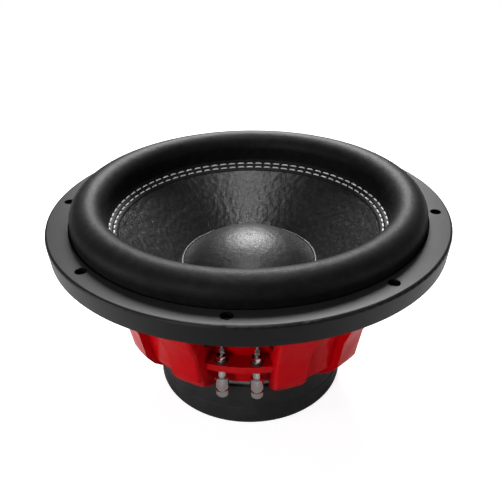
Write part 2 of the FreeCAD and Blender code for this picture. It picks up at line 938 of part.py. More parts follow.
def make_surround():
    """Half roll with a flat lip under the trim ring and a sloping lip on the cone."""
    wall = S["surround_wall"]
    spring_z = crest_z - S["roll_radius"]
    lip_inner = roll_inner - S["surround_lip"]
    lip_outer = trim_inner + S["trim_rabbet"] - 2 * S["slide_gap"]
    return turned(
        "surround",
        [
            (lip_outer, flange_top),
            (lip_outer, flange_top + wall),
            (roll_outer, flange_top + wall),
            (roll_outer, spring_z),
            (roll_inner, spring_z, roll_centre, spring_z, 1),
            (roll_inner, on_lip(roll_inner)),
            (lip_inner, on_lip(lip_inner)),
            (lip_inner, on_cone(lip_inner)),
            (roll_inner + wall, on_cone(roll_inner + wall)),
            (roll_inner + wall, spring_z),
            (roll_outer - wall, spring_z, roll_centre, spring_z, -1),
            (roll_outer - wall, flange_top),
        ],
    )


def make_thread():
    """Two rows of sewing thread on the surround's lip."""
    body = new_body("surround_thread")
    rows = []
    for row in (0, 1):
        radius = roll_inner - S["stitch_inset"] - row * S["stitch_pitch"]
        height = on_lip(radius) + S["thread_radius"] * cone_lean + S["thread_gap"]
        sketch = new_sketch(body, f"thread_section_{row}")
        circle(sketch, radius, height, S["thread_radius"])
        feature = body.newObject("PartDesign::Revolution", f"thread_row_{row}")
        feature.Profile = (sketch, [""])
        feature.ReferenceAxis = (sketch, ["V_Axis"])
        feature.Angle = 360
        doc.recompute()
        rows.append(feature)
    return body


# ---------------------------------------------------------------- terminals


def post_sketch(body, name):
    """A sketch in the vertical plane through both posts, right post first."""
    sketch = body.newObject("Sketcher::SketchObject", name)
    sketch.AttachmentSupport = [(origin_feature(body, "XZ_Plane"), "")]
    sketch.MapMode = "FlatFace"
    sketch.AttachmentOffset = Placement(Vector(0, 0, post_circle.value), Rotation())
    sketch.setExpression("AttachmentOffset.Base.z", post_circle.text)
    return sketch


def post_turned(body, name, side, corners):
    """Turns (radius, height) corners about a post's axis; side is 1 right, -1 left."""
    axis = side * S["post_spacing"] / 2
    sketch = post_sketch(body, f"{name}_outline")
    outline(sketch, [(axis + c[0], c[1], *shifted(axis, c[2:])) for c in corners])
    return spun(body, name, sketch, axis)


def shifted(axis, arc):
    """An arc's centre and turn, with the centre moved out to the axis."""
    return (axis + arc[0], arc[1], arc[2]) if arc else ()


def make_bushes():
    """Black nylon washers with shanks, above and below the shelf at each post."""
    body = new_body("terminal_bushes")
    split = shelf_z + S["shelf_thick"] / 2
    bore, shank, rim = S["stud_radius"], S["bush_shank"], S["bush_radius"]
    lower = [
        (bore, shelf_z - S["bush_flange"]),
        (rim, shelf_z - S["bush_flange"]),
        (rim, shelf_z),
        (shank, shelf_z),
        (shank, split - S["slide_gap"]),
        (bore, split - S["slide_gap"]),
    ]
    upper = [
        (bore, split + S["slide_gap"]),
        (shank, split + S["slide_gap"]),
        (shank, shelf_top),
        (rim, shelf_top),
        (rim, shelf_top + S["bush_flange"]),
        (bore, shelf_top + S["bush_flange"]),
    ]
    features = [
        post_turned(body, "lower_bush", 1, lower),
        post_turned(body, "upper_bush", 1, upper),
    ]
    mirrored(body, "bush_pair", features)
    return body


def make_posts():
    """Chromed terminal posts: stud, neck, barrel with a wire hole, spigot."""
    body = new_body("terminal_posts")
    neck_top = shelf_z - S["bush_flange"]
    chamfer = S["edge_break"] / 2
    bore_top = pin_top + S["button_travel"] + S["fit_gap"]
    corners = [
        (0, bore_top),
        (pin_bore, bore_top),
        (pin_bore, spring_top_z),
        (S["spring_bore"], spring_top_z),
        (S["spring_bore"], spigot_low),
        (S["post_spigot"], spigot_low),
        (S["post_spigot"], barrel_low),
        (S["post_radius"] - chamfer, barrel_low),
        (S["post_radius"], barrel_low + chamfer),
        (S["post_radius"], barrel_top - 2 * chamfer),
        (S["post_radius"] - 2 * chamfer, barrel_top),
        (S["post_neck"], barrel_top),
        (S["post_neck"], neck_top),
        (S["stud_radius"], neck_top),
        (S["stud_radius"], neck_top + S["stud_length"]),
        (0, neck_top + S["stud_length"]),
    ]
    post = post_turned(body, "post", 1, corners)
    wire = new_sketch(body, "wire_hole_centre", "YZ_Plane")
    circle(wire, -post_circle, wire_z, S["wire_hole"])
    hole = body.newObject("PartDesign::Pocket", "wire_hole")
    hole.Profile = wire
    hole.Type = "ThroughAll"
    hole.Midplane = True
    doc.recompute()
    mirrored(body, "post_pair", [post, hole])
    return body


def make_button(name, side):
    """Push button: a rounded cup on the spigot, with the pin that opens the wire hole."""
    body = new_body(name)
    rounding = S["button_round"]
    outer = S["post_radius"] - S["slide_gap"]
    bore = S["post_spigot"] + S["slide_gap"]
    corners = [
        (0, button_low),
        (outer - rounding, button_low),
        (outer, button_low + rounding, outer - rounding, button_low + rounding, 1),
        (outer, button_top),
        (bore, button_top),
        (bore, button_low + S["button_floor"]),
        (S["pin_radius"], button_low + S["button_floor"]),
        (S["pin_radius"], pin_top),
        (0, pin_top),
    ]
    post_turned(body, f"{name}_turn", side, corners)
    wire = new_sketch(body, f"{name}_hole_centre", "YZ_Plane")
    hole_radius = S["wire_hole"] - S["fit_gap"]
    circle(wire, -post_circle, wire_z - S["button_travel"], hole_radius)
    hole = body.newObject("PartDesign::Pocket", f"{name}_hole")
    hole.Profile = wire
    hole.Type = "ThroughAll"
    hole.Midplane = True
    doc.recompute()
    return body


def make_button_spring(name, side):
    """Coil spring round the button's pin, inside the post."""
    wire = S["spring_wire"]
    mean = (S["pin_radius"] + S["spring_bore"]) / 2
    foot = button_low + S["button_floor"] + wire + S["spring_gap"]
    length = spring_top_z - foot - wire - S["spring_gap"]
    axis = side * S["post_spacing"] / 2
    helix = doc.addObject("Part::Helix", f"{name}_line")
    helix.Placement = Placement(Vector(axis.value, -post_circle.value, foot.value), Rotation())
    section = doc.addObject("Part::Circle", f"{name}_wire")
    start = Vector(axis.value + mean.value, -post_circle.value, foot.value)
    section.Placement = Placement(start, Rotation(Vector(1, 0, 0), 90))
    for target, prop, size in (
        (helix, "Radius", mean),
        (helix, "Height", length),
        (helix, "Pitch", length / S["spring_turns"]),
        (helix, "Placement.Base.x", axis),
        (helix, "Placement.Base.y", -post_circle),
        (helix, "Placement.Base.z", foot),
        (section, "Radius", wire),
        (section, "Placement.Base.x", axis + mean),
        (section, "Placement.Base.y", -post_circle),
        (section, "Placement.Base.z", foot),
    ):
        target.setExpression(prop, size.text)
    coil = doc.addObject("Part::Sweep", name)
    coil.Label = name
    coil.Sections = [section]
    coil.Spine = (helix, ["Edge1"])
    coil.Solid = True
    coil.Frenet = True
    doc.recompute()
    return coil


def make_nuts():
    """Hexagon nuts on the studs."""
    body = new_body("terminal_nuts")
    low = shelf_top + S["bush_flange"] + S["lug_thick"] + S["washer_thick"]
    sketch = new_sketch(body, "nut_outline", "XY_Plane", lift=low)
    corner = S["nut_flats"] / math.sqrt(3)
    centre = S["post_spacing"] / 2
    flat_half = S["nut_flats"] / 2
    outline(
        sketch,
        [
            (centre + flat_half, -post_circle - corner / 2),
            (centre + flat_half, -post_circle + corner / 2),
            (centre, -post_circle + corner),
            (centre - flat_half, -post_circle + corner / 2),
            (centre - flat_half, -post_circle - corner / 2),
            (centre, -post_circle - corner),
        ],
    )
    circle(sketch, centre, -post_circle, S["stud_radius"])
    nut = pad(body, "nut", sketch, S["nut_thick"])
    mirrored(body, "nut_pair", [nut])
    return body


def make_lock_washers():
    body = new_body("terminal_washers")
    low = shelf_top + S["bush_flange"] + S["lug_thick"]
    rim = S["nut_flats"] / 2 - 2 * S["slide_gap"]
    corners = [
        (S["stud_radius"], low),
        (rim, low),
        (rim, low + S["washer_thick"]),
        (S["stud_radius"], low + S["washer_thick"]),
    ]
    washer = post_turned(body, "washer", 1, corners)
    mirrored(body, "washer_pair", [washer])
    return body


def make_lugs():
    """Solder lugs under the nuts, each with a tab bent up towards the coil's leads."""
    body = new_body("solder_lugs")
    low = shelf_top + S["bush_flange"]
    centre = S["post_spacing"] / 2
    rim = S["nut_flats"] / 2
    corners = [
        (S["stud_radius"], low),
        (rim, low),
        (rim, low + S["lug_thick"]),
        (S["stud_radius"], low + S["lug_thick"]),
    ]
    eye = post_turned(body, "lug_eye", 1, corners)
    half = S["lug_width"] / 2
    foot_y = -post_circle + S["stud_radius"] + S["fit_gap"]
    sketch = new_sketch(body, "lug_tab_outline", "XY_Plane", lift=low)
    outline(
        sketch,
        [
            (centre - half, lug_tab_y),
            (centre + half, lug_tab_y),
            (centre + half, lug_tab_y + S["lug_thick"]),
            (centre - half, lug_tab_y + S["lug_thick"]),
        ],
    )
    tab = pad(body, "lug_tab", sketch, S["lug_tab"])
    foot_sketch = new_sketch(body, "lug_foot_outline", "XY_Plane", lift=low)
    outline(
        foot_sketch,
        [
            (centre - half, foot_y),
            (centre + half, foot_y),
            (centre + half, lug_tab_y + S["lug_thick"]),
            (centre - half, lug_tab_y + S["lug_thick"]),
        ],
    )
    foot = pad(body, "lug_foot", foot_sketch, S["lug_thick"])
    mirrored(body, "lug_pair", [eye, tab, foot])
    return body


# ---------------------------------------------------------------- leads


def rounded_path(points):
    """Straight runs joined by tangent arcs as large as the shorter run allows."""
    edges = []
    here = points[0]
    for before, corner, after in zip(points, points[1:], points[2:]):
        run_in, run_out = corner - before, after - corner
        half_turn = run_in.getAngle(run_out) / 2
        cut = 0.45 * min(run_in.Length, run_out.Length)
        arc_start = corner - run_in.normalize() * cut
        arc_end = corner + run_out.normalize() * cut
        radius = cut / math.tan(half_turn)
        inward = (arc_start + arc_end) * 0.5 - corner
        inward.normalize()
        middle = corner + inward * (radius / math.cos(half_turn) - radius)
        edges.append(Part.LineSegment(here, arc_start).toShape())
        edges.append(Part.Arc(arc_start, middle, arc_end).toShape())
        print(f"lead bend radius {radius:.1f}")
        here = arc_end
    edges.append(Part.LineSegment(here, points[-1]).toShape())
    return Part.Wire(edges)


def make_lead(name, side):
    """Tinsel lead from the solder lug, over the landing, to the cone's underside."""
    lug_x = S["post_spacing"].value / 2
    start_z = (shelf_top + S["bush_flange"] + S["lug_tab"] + S["lead_gap"]).value
    lug_y = lug_tab_y.value + S["lug_thick"].value / 2
    end_y = -(S["cap_radius"] + S["lead_inset"]).value
    cone_under = on_cone(-end_y).value - S["cone_wall"].value * cone_lean
    end_z = cone_under - (S["lead_radius"] + S["fit_gap"]).value
    rise = end_z - start_z
    reach = end_y - lug_y
    points = [
        Vector(side * lug_x, lug_y, start_z),
        Vector(side * lug_x, lug_y, start_z + 0.3 * rise),
        Vector(side * (lug_x - 0.8), lug_y + 0.25 * reach, start_z + 0.55 * rise),
        Vector(side * (lug_x - 2.2), lug_y + 0.6 * reach, start_z + 0.6 * rise),
        Vector(side * (lug_x - 3.2), lug_y + 0.9 * reach, start_z + 0.72 * rise),
        Vector(side * (lug_x - 3.8), end_y, end_z),
    ]
    path = rounded_path(points)
    direction = points[1] - points[0]
    section = Part.Wire(Part.Circle(points[0], direction, S["lead_radius"].value).toShape())
    lead = doc.addObject("Part::Feature", name)
    lead.Label = name
    lead.Shape = path.makePipeShell([section], True, True)
    print(f"{name} length {path.Length:.1f}")
    return lead


# ---------------------------------------------------------------- build and write


def checked_parts():
    """Every sub-part by label, after checking that all features are sound."""
    doc.recompute()
    for item in doc.Objects:
        if "Invalid" in item.State or "Error" in item.State:
            raise RuntimeError(f"{item.Name} failed: {item.State}")
    kinds = ("PartDesign::Body", "Part::Feature", "Part::Sweep")
    parts = [item for item in doc.Objects if item.TypeId in kinds]
    for item in parts:
        if item.Shape.isNull() or not item.Shape.isValid():
            raise RuntimeError(f"{item.Label} has no sound shape")
    return parts


def main():
    make_trim_ring()
    make_gasket()
    make_basket()
    make_motor()
    make_plate_screws()
    make_coil()
    make_spider()
    make_cone()
    make_dust_cap()
    make_surround()
    make_thread()
    make_bushes()
    make_posts()
    make_nuts()
    make_lock_washers()
    make_lugs()
    for side, word in ((-1, "left"), (1, "right")):
        make_button(f"button_{word}", side)
        make_button_spring(f"button_spring_{word}", side)
        make_lead(f"lead_{word}", side)
    os.makedirs("parts", exist_ok=True)
    for item in checked_parts():
        item.Shape.exportStep(f"parts/{item.Label}.step")
        box = item.Shape.BoundBox
        print(
            f"{item.Label:18s} solids {len(item.Shape.Solids)} volume {item.Shape.Volume:10.1f} "
            f"z {box.ZMin:7.2f} to {box.ZMax:7.2f} reach {box.XMax:7.2f}"
        )


main()
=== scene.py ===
import math

import bmesh
import bpy
from mathutils import Matrix, Vector, noise


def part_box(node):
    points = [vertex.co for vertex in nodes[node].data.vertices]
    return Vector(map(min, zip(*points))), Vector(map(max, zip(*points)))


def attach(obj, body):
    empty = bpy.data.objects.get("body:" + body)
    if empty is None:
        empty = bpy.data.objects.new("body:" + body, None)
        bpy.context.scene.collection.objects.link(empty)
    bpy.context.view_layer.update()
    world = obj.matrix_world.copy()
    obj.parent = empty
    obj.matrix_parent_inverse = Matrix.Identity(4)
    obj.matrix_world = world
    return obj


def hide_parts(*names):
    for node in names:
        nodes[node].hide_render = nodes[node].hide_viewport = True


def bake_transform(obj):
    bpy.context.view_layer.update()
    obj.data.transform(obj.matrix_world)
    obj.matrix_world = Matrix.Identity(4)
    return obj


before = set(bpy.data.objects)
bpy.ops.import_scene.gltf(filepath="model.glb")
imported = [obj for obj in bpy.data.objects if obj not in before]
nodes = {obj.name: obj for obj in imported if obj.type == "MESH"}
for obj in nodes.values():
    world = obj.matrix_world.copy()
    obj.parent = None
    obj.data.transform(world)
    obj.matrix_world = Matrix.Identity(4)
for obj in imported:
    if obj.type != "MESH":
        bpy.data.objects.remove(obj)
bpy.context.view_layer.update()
print("frame loaded,", len(nodes), "nodes")

# heights and radii that several pieces share, all read from the frame
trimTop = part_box("trim_ring")[1]
coneFoot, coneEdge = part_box("cone")
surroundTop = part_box("surround")[1]
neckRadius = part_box("former_collar")[1].x
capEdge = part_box("dust_cap")[1].x
capFoot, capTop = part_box("dust_cap")[0].z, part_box("dust_cap")[1].z


def addNode(tree, kind, sockets=None, **settings):
    node = tree.nodes.new(kind)
    for key, value in settings.items():
        setattr(node, key, value)
    for key, value in (sockets or {}).items():
        if isinstance(value, bpy.types.NodeSocket):
            tree.links.new(value, node.inputs[key])
        else:
            node.inputs[key].default_value = value
    return node


def startMaterial(name, values):
    material = bpy.data.materials.new(name)
    material.use_nodes = True
    tree = material.node_tree
    shader = tree.nodes["Principled BSDF"]
    sockets = {"metallic": "Metallic", "specular": "Specular IOR Level", "coat": "Coat Weight",
               "coatRoughness": "Coat Roughness", "sheen": "Sheen Weight"}
    for key, socket in sockets.items():
        if key in values:
            shader.inputs[socket].default_value = values[key]
    return material, tree, shader


def placePoint(tree):
    return addNode(tree, "ShaderNodeTexCoord").outputs["Object"]


def roundPoint(tree, turns, radial, upright):
    # Object coordinates wrapped round Z: streaks along the radius or round the axis.
    parts = addNode(tree, "ShaderNodeSeparateXYZ", {"Vector": placePoint(tree)})
    flat = addNode(tree, "ShaderNodeCombineXYZ", {"X": parts.outputs["X"], "Y": parts.outputs["Y"]})
    radius = addNode(tree, "ShaderNodeVectorMath", {0: flat.outputs[0]}, operation="LENGTH")
    around = addNode(tree, "ShaderNodeVectorMath", {0: flat.outputs[0]}, operation="NORMALIZE")
    scaled = addNode(tree, "ShaderNodeVectorMath", {0: around.outputs[0], "Scale": turns},
                     operation="SCALE")
    outward = addNode(tree, "ShaderNodeMath", {0: radius.outputs["Value"], 1: radial},
                      operation="MULTIPLY")
    lifted = addNode(tree, "ShaderNodeMath", {0: parts.outputs["Z"], 1: upright, 2: outward.outputs[0]},
                     operation="MULTIPLY_ADD")
    rise = addNode(tree, "ShaderNodeCombineXYZ", {"Z": lifted.outputs[0]})
    return addNode(tree, "ShaderNodeVectorMath", {0: scaled.outputs[0], 1: rise.outputs[0]}).outputs[0]


def speckle(tree, scale, detail=3.0, point=None):
    place = point or placePoint(tree)
    node = addNode(tree, "ShaderNodeTexNoise", {"Vector": place, "Scale": scale, "Detail": detail})
    return node.outputs["Fac"]


def ranged(tree, value, low, high, fromLow=0.3, fromHigh=0.7):
    node = addNode(tree, "ShaderNodeMapRange", {"Value": value, "From Min": fromLow, "From Max": fromHigh,
                                                "To Min": low, "To Max": high})
    return node.outputs["Result"]


def tint(tree, shader, value, dark, light):
    # Base colour runs from dark to light as value goes from 0 to 1.
    node = addNode(tree, "ShaderNodeMix", {"Factor": value}, data_type="RGBA")
    node.inputs["A"].default_value = (*dark, 1)
    node.inputs["B"].default_value = (*light, 1)
    tree.links.new(node.outputs["Result"], shader.inputs["Base Color"])


def roughen(tree, shader, value):
    tree.links.new(value, shader.inputs["Roughness"])


def emboss(tree, shader, layers):
    # Bumps stacked one over another; each layer is a height and its depth in metres.
    normal = None
    for height, depth in layers:
        bump = addNode(tree, "ShaderNodeBump", {"Height": height, "Distance": depth})
        if normal is not None:
            tree.links.new(normal, bump.inputs["Normal"])
        normal = bump.outputs["Normal"]
    tree.links.new(normal, shader.inputs["Normal"])


def grainFinish(name, values):
    # Moulded rubber, plastic, foam and paper: blotches of tone over one or two grains.
    material, tree, shader = startMaterial(name, values)
    blotch = speckle(tree, values["blotchScale"], 4)
    fine = speckle(tree, values["grainScale"], 2)
    tint(tree, shader, ranged(tree, blotch, 0, 1), values["dark"], values["light"])
    roughen(tree, shader, ranged(tree, fine, *values["roughness"]))
    emboss(tree, shader, [(blotch, values["blotchDepth"]), (fine, values["grainDepth"])])
    return material


def turnedMetal(name, values):
    # Metal with the fine rings that a lathe leaves, and a few cloudy patches.
    material, tree, shader = startMaterial(name, values)
    rings = speckle(tree, 1.0, 3, roundPoint(tree, values["streak"], values["rings"], values["rings"]))
    cloud = speckle(tree, values["blotchScale"], 3)
    tint(tree, shader, ranged(tree, cloud, 0, 1), values["dark"], values["light"])
    roughen(tree, shader, ranged(tree, rings, *values["roughness"]))
    emboss(tree, shader, [(rings, values["ringDepth"])])
    return material


def glossPaint(name, values):
    # Thick gloss paint on a casting: orange peel and metal flake deep in the colour.
    material, tree, shader = startMaterial(name, values)
    peel = speckle(tree, values["peelScale"], 1)
    casting = speckle(tree, values["castScale"], 3)
    flake = addNode(tree, "ShaderNodeTexVoronoi",
                    {"Vector": placePoint(tree), "Scale": values["flakeScale"]})
    depth = ranged(tree, flake.outputs["Distance"], 0, 1, 0.1, 0.6)
    tint(tree, shader, depth, values["light"], values["dark"])
    roughen(tree, shader, ranged(tree, casting, *values["roughness"]))
    emboss(tree, shader, [(casting, values["castDepth"]), (peel, values["peelDepth"])])
    return material


def threadFinish(name, values):
    # Twisted thread: slanting strands on the thread's own UV map, a little fuzz over them.
    material, tree, shader = startMaterial(name, values)
    place = addNode(tree, "ShaderNodeTexCoord").outputs["UV"]
    wave = addNode(tree, "ShaderNodeTexWave", {"Vector": place, "Scale": values["strandScale"],
                                               "Distortion": 0.6},
                   bands_direction="DIAGONAL")
    fuzz = speckle(tree, values["grainScale"], 3)
    tint(tree, shader, wave.outputs["Fac"], values["dark"], values["light"])
    roughen(tree, shader, ranged(tree, fuzz, *values["roughness"]))
    emboss(tree, shader, [(wave.outputs["Fac"], values["strandDepth"]), (fuzz, values["grainDepth"])])
    return material


def clothFinish(name, values):
    # Woven cloth stiffened with resin: two crossed sets of threads in the sheet's own plane.
    material, tree, shader = startMaterial(name, values)
    sets = [addNode(tree, "ShaderNodeTexWave", {"Vector": placePoint(tree), "Scale": values["threadScale"],
                                                "Distortion": 0.3}, bands_direction=axis).outputs["Fac"]
            for axis in ("X", "Y")]
    weave = addNode(tree, "ShaderNodeMath", {0: sets[0], 1: sets[1]}, operation="MULTIPLY").outputs[0]
    cloud = speckle(tree, values["blotchScale"], 3)
    tint(tree, shader, weave, values["dark"], values["light"])
    roughen(tree, shader, ranged(tree, cloud, *values["roughness"]))
    emboss(tree, shader, [(weave, values["threadDepth"])])
    return material


def windingFinish(name, values):
    # Enamelled wire laid turn on turn.
    material, tree, shader = startMaterial(name, values)
    wave = addNode(tree, "ShaderNodeTexWave", {"Vector": placePoint(tree), "Scale": values["turnsScale"],
                                               "Distortion": 0.0},
                   bands_direction="Z")
    cloud = speckle(tree, values["blotchScale"], 2)
    tint(tree, shader, ranged(tree, cloud, 0, 1), values["dark"], values["light"])
    roughen(tree, shader, ranged(tree, cloud, *values["roughness"]))
    emboss(tree, shader, [(wave.outputs["Fac"], values["turnDepth"])])
    return material


finishes = {
    "redPaint": {"light": (0.62, 0.0006, 0.004), "dark": (0.40, 0.0005, 0.003), "specular": 0.04,
                 "roughness": (0.3, 0.42), "coat": 0.22, "coatRoughness": 0.06, "peelScale": 420.0,
                 "castScale": 70.0, "castDepth": 0.0006, "peelDepth": 0.00006, "flakeScale": 2600.0},
    "trimPlastic": {"dark": (0.0025, 0.0025, 0.0026), "light": (0.0045, 0.0045, 0.0047),
                    "roughness": (0.38, 0.48), "specular": 0.19, "blotchScale": 45.0,
                    "blotchDepth": 0.0001, "grainScale": 1500.0, "grainDepth": 0.00006},
    "gasketFoam": {"dark": (0.006, 0.006, 0.006), "light": (0.022, 0.022, 0.022),
                   "roughness": (0.85, 0.97), "specular": 0.2, "blotchScale": 400.0,
                   "blotchDepth": 0.0003, "grainScale": 1800.0, "grainDepth": 0.0003},
    "bootRubber": {"dark": (0.015, 0.015, 0.0155), "light": (0.025, 0.025, 0.026),
                   "roughness": (0.5, 0.66), "specular": 0.2, "blotchScale": 60.0,
                   "blotchDepth": 0.0002, "grainScale": 900.0, "grainDepth": 0.0001},
    "rollRubber": {"dark": (0.003, 0.003, 0.003), "light": (0.006, 0.006, 0.006),
                   "roughness": (0.46, 0.58), "specular": 0.08, "blotchScale": 130.0,
                   "blotchDepth": 0.0004, "grainScale": 1300.0, "grainDepth": 0.00009},
    "conePaper": {"dark": (0.005, 0.005, 0.0053), "light": (0.009, 0.009, 0.0094),
                  "roughness": (0.26, 0.38), "specular": 0.15, "blotchScale": 130.0,
                  "blotchDepth": 0.0003, "grainScale": 900.0, "grainDepth": 0.0002},
    "capPaper": {"dark": (0.006, 0.006, 0.0062), "light": (0.012, 0.012, 0.0124),
                 "roughness": (0.36, 0.5), "specular": 0.18, "blotchScale": 150.0,
                 "blotchDepth": 0.0003, "grainScale": 1000.0, "grainDepth": 0.00015},
    "glueBlack": {"dark": (0.006, 0.006, 0.006), "light": (0.010, 0.010, 0.010),
                  "roughness": (0.34, 0.5), "specular": 0.2, "blotchScale": 200.0,
                  "blotchDepth": 0.0001, "grainScale": 900.0, "grainDepth": 0.00004},
    "collarPaper": {"dark": (0.30, 0.19, 0.10), "light": (0.42, 0.28, 0.16), "roughness": (0.7, 0.9),
                    "specular": 0.3, "blotchScale": 200.0, "blotchDepth": 0.0001,
                    "grainScale": 1600.0, "grainDepth": 0.0001},
    "blackNylon": {"dark": (0.012, 0.012, 0.012), "light": (0.02, 0.02, 0.02),
                   "roughness": (0.35, 0.5), "specular": 0.45, "blotchScale": 200.0,
                   "blotchDepth": 0.00005, "grainScale": 2500.0, "grainDepth": 0.00003},
    "ferrite": {"dark": (0.022, 0.022, 0.023), "light": (0.05, 0.05, 0.052), "roughness": (0.6, 0.8),
                "specular": 0.4, "blotchScale": 300.0, "blotchDepth": 0.0002, "grainScale": 2200.0,
                "grainDepth": 0.0001},
    "zincPlate": {"dark": (0.40, 0.43, 0.43), "light": (0.56, 0.58, 0.57), "metallic": 1.0,
                  "roughness": (0.28, 0.5), "streak": 1.5, "rings": 2600.0, "blotchScale": 60.0,
                  "ringDepth": 0.00006},
    "ringAluminium": {"dark": (0.62, 0.62, 0.62), "light": (0.74, 0.74, 0.74), "metallic": 1.0,
                      "roughness": (0.25, 0.42), "streak": 1.2, "rings": 3000.0, "blotchScale": 80.0,
                      "ringDepth": 0.00005},
    "formerAluminium": {"dark": (0.58, 0.57, 0.55), "light": (0.70, 0.69, 0.66), "metallic": 1.0,
                        "roughness": (0.24, 0.4), "streak": 2.0, "rings": 1500.0,
                        "blotchScale": 90.0, "ringDepth": 0.00003},
    "screwBlack": {"dark": (0.03, 0.03, 0.032), "light": (0.06, 0.06, 0.062), "metallic": 1.0,
                   "roughness": (0.3, 0.48), "streak": 20.0, "rings": 900.0, "blotchScale": 300.0,
                   "ringDepth": 0.00003},
    "chrome": {"dark": (0.88, 0.88, 0.86), "light": (0.96, 0.96, 0.94), "metallic": 1.0,
               "roughness": (0.05, 0.11), "streak": 30.0, "rings": 700.0, "blotchScale": 500.0,
               "ringDepth": 0.00001},
    "tinPlate": {"dark": (0.50, 0.49, 0.46), "light": (0.70, 0.68, 0.64), "metallic": 1.0,
                 "roughness": (0.22, 0.45), "streak": 40.0, "rings": 500.0, "blotchScale": 700.0,
                 "ringDepth": 0.00002},
    "springSteel": {"dark": (0.45, 0.45, 0.46), "light": (0.6, 0.6, 0.61), "metallic": 1.0,
                    "roughness": (0.2, 0.34), "streak": 40.0, "rings": 500.0, "blotchScale": 900.0,
                    "ringDepth": 0.00001},
    "sewingThread": {"dark": (0.34, 0.34, 0.33), "light": (0.62, 0.62, 0.60),
                     "roughness": (0.55, 0.75), "specular": 0.35, "sheen": 0.3, "strandScale": 3.0,
                     "strandDepth": 0.00012, "grainScale": 4000.0, "grainDepth": 0.00005},
    "spiderCloth": {"dark": (0.30, 0.19, 0.08), "light": (0.42, 0.28, 0.13), "roughness": (0.7, 0.9),
                    "specular": 0.3, "threadScale": 300.0, "blotchScale": 60.0,
                    "threadDepth": 0.0003},
    "tinsel": {"dark": (0.10, 0.10, 0.10), "light": (0.42, 0.41, 0.40), "metallic": 0.6,
               "roughness": (0.35, 0.6), "specular": 0.4, "blotchScale": 900.0,
               "blotchDepth": 0.0001, "grainScale": 3500.0, "grainDepth": 0.0001},
    "enamelledCopper": {"dark": (0.40, 0.13, 0.05), "light": (0.55, 0.20, 0.08), "metallic": 1.0,
                        "roughness": (0.22, 0.36), "coat": 0.6, "coatRoughness": 0.1,
                        "turnsScale": 350.0, "blotchScale": 120.0, "turnDepth": 0.0002},
}

cadFinishes = {  # finish and the CAD nodes that wear it
    "redPaint": (glossPaint, ["basket"]),
    "trimPlastic": (grainFinish, ["trim_ring"]),
    "gasketFoam": (grainFinish, ["mounting_gasket"]),
    "bootRubber": (grainFinish, ["magnet_boot"]),
    "ferrite": (grainFinish, ["magnet_lower", "magnet_upper"]),
    "blackNylon": (grainFinish, ["terminal_bushes"]),
    "collarPaper": (grainFinish, ["former_collar"]),
    "conePaper": (grainFinish, ["cone"]),
    "capPaper": (grainFinish, ["dust_cap"]),
    "rollRubber": (grainFinish, ["surround", "surround_thread"]),
    "spiderCloth": (clothFinish, ["spider"]),
    "zincPlate": (turnedMetal, ["top_plate", "yoke", "vent_screen"]),
    "ringAluminium": (turnedMetal, ["shorting_ring"]),
    "formerAluminium": (turnedMetal, ["coil_former"]),
    "screwBlack": (turnedMetal, ["plate_screws"]),
    "chrome": (turnedMetal, ["terminal_posts", "terminal_nuts", "button_left", "button_right"]),
    "tinPlate": (turnedMetal, ["solder_lugs", "terminal_washers", "lead_left", "lead_right"]),
    "springSteel": (turnedMetal, ["button_spring_left", "button_spring_right"]),
    "enamelledCopper": (windingFinish, ["coil_winding"]),
}
newFinishes = {  # worn only by pieces made below
    "glueBlack": grainFinish,
    "sewingThread": threadFinish,
    "tinsel": grainFinish,
}
materials = {name: makeFinish(name, finishes[name]) for name, makeFinish in newFinishes.items()}
for finishName, (makeFinish, wearers) in cadFinishes.items():
    materials[finishName] = makeFinish(finishName, finishes[finishName])
    for wearer in wearers:
        mesh = nodes[wearer].data
        mesh.materials.clear()
        mesh.materials.append(materials[finishName])
print("finishes made,", len(materials))


def deselect():
    bpy.ops.object.select_all(action="DESELECT")


def nameObject(name):
    piece = bpy.context.object
    piece.name = piece.data.name = name
    return piece


def editMode(on=True):
    bpy.ops.object.mode_set(mode="EDIT" if on else "OBJECT")


def pickEdges(piece, wanted):
    # Selects, in edit mode, the edges whose two ends pass the test.
    mesh = bmesh.from_edit_mesh(piece.data)
    bpy.ops.mesh.select_mode(type="EDGE")
    bpy.ops.mesh.select_all(action="DESELECT")
    for edge in mesh.edges:
        edge.select = wanted(edge.verts[0].co, edge.verts[1].co)
    mesh.select_flush_mode()
    bmesh.update_edit_mesh(piece.data)


def turnedShell(name, outline, segments, closed=True, weld=1e-6):
    # Pulls a ring out step by step along (radius, height) points, then bridges its ends.
    deselect()
    radius, height = outline[0]
    bpy.ops.mesh.primitive_circle_add(vertices=segments, radius=radius, location=(0, 0, 0))
    piece = nameObject(name)
    editMode()
    bpy.ops.mesh.select_all(action="SELECT")
    bpy.ops.transform.translate(value=(0, 0, height))
    for nextRadius, nextHeight in outline[1:]:
        bpy.ops.mesh.extrude_edges_move(TRANSFORM_OT_translate={"value": (0, 0, nextHeight - height)})
        grow = nextRadius / radius
        bpy.ops.transform.resize(value=(grow, grow, 1), center_override=(0, 0, nextHeight))
        radius, height = nextRadius, nextHeight
    if closed:
        bpy.ops.mesh.select_all(action="SELECT")
        bpy.ops.mesh.region_to_loop()
        bpy.ops.mesh.bridge_edge_loops()
    bpy.ops.mesh.select_all(action="SELECT")
    bpy.ops.mesh.remove_doubles(threshold=weld)
    bpy.ops.mesh.normals_make_consistent(inside=False)
    editMode(False)
    return piece


def arcPoints(centre, radius, start, end, steps):
    # Points on an arc in (radius, height), angles in degrees.
    turns = [math.radians(start + (end - start) * step / steps) for step in range(steps + 1)]
    return [(centre[0] + radius * math.cos(turn), centre[1] + radius * math.sin(turn)) for turn in turns]


def chooseOnly(*pieces):
    deselect()
    for piece in pieces:
        piece.select_set(True)
    bpy.context.view_layer.objects.active = pieces[0]


